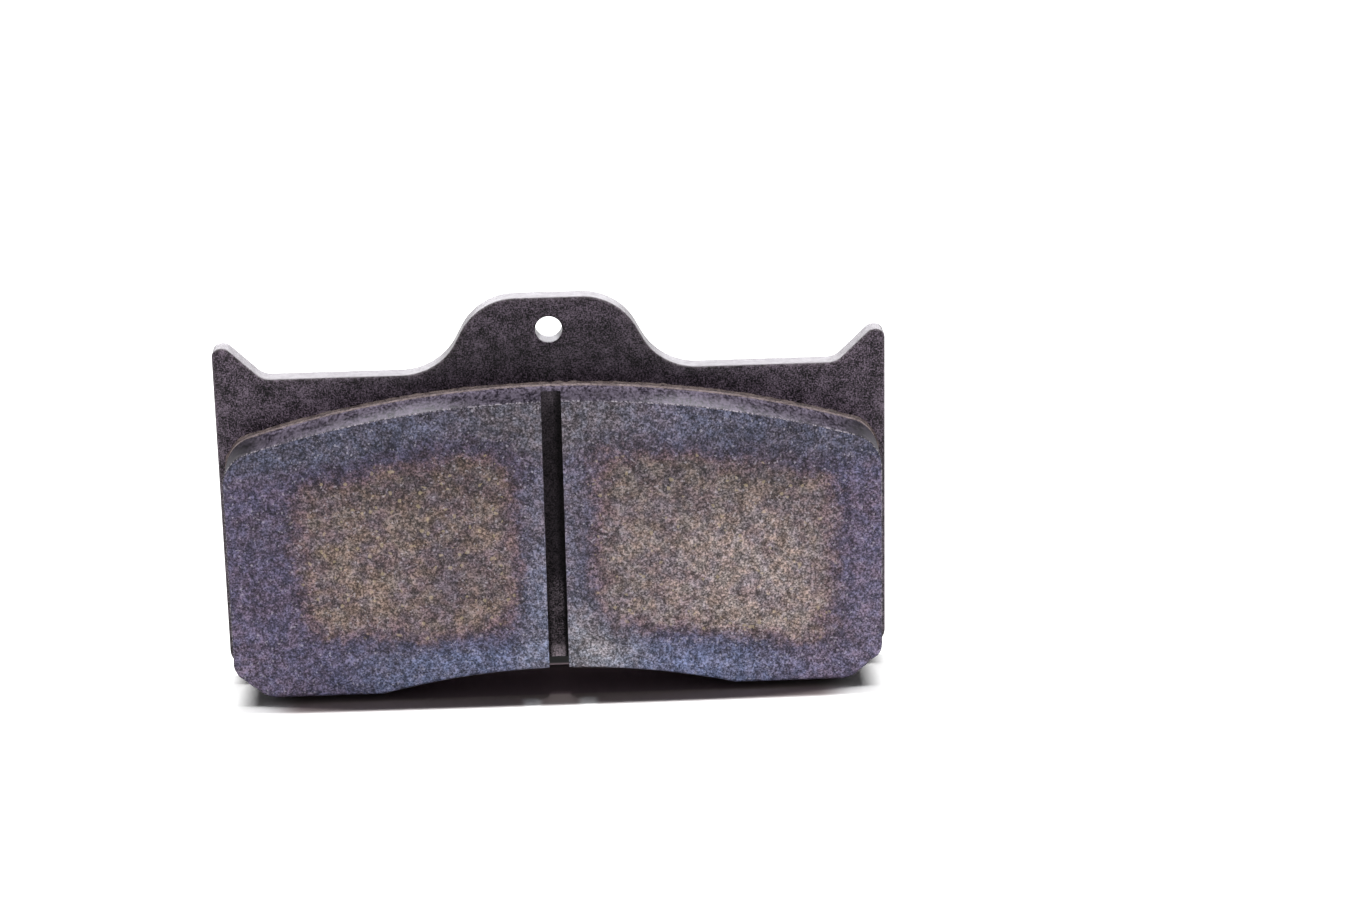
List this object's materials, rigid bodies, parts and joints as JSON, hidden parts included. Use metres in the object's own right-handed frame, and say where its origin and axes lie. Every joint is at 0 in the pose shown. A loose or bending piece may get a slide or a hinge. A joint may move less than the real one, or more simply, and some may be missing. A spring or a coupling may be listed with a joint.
{
  "type": "brake pad",
  "caption": "Fixed-caliper disc brake pad: flat steel backing plate with corner ears and a pin lug, carrying a slotted, arched friction block.",
  "frame": {"origin": "bottom centre of the standing pad: middle of its length and of its thickness, level with the backing plate's two feet", "axes": "+X along the pad's length, +Y from the disc towards the pistons, so the friction face looks to -Y, +Z outward from the axle, from the concave foot edge to the pin lug"},
  "size_m": [0.102, 0.0126, 0.061],
  "materials": {
    "plate_coat": "satin",
    "adhesive": "matte",
    "underlayer": "matte",
    "friction": "matte"
  },
  "bodies": {
    "root": {"backing_plate": "plate_coat", "adhesive_film": "adhesive", "underlayer": "underlayer", "friction_block": "friction"}
  },
  "joints": []
}
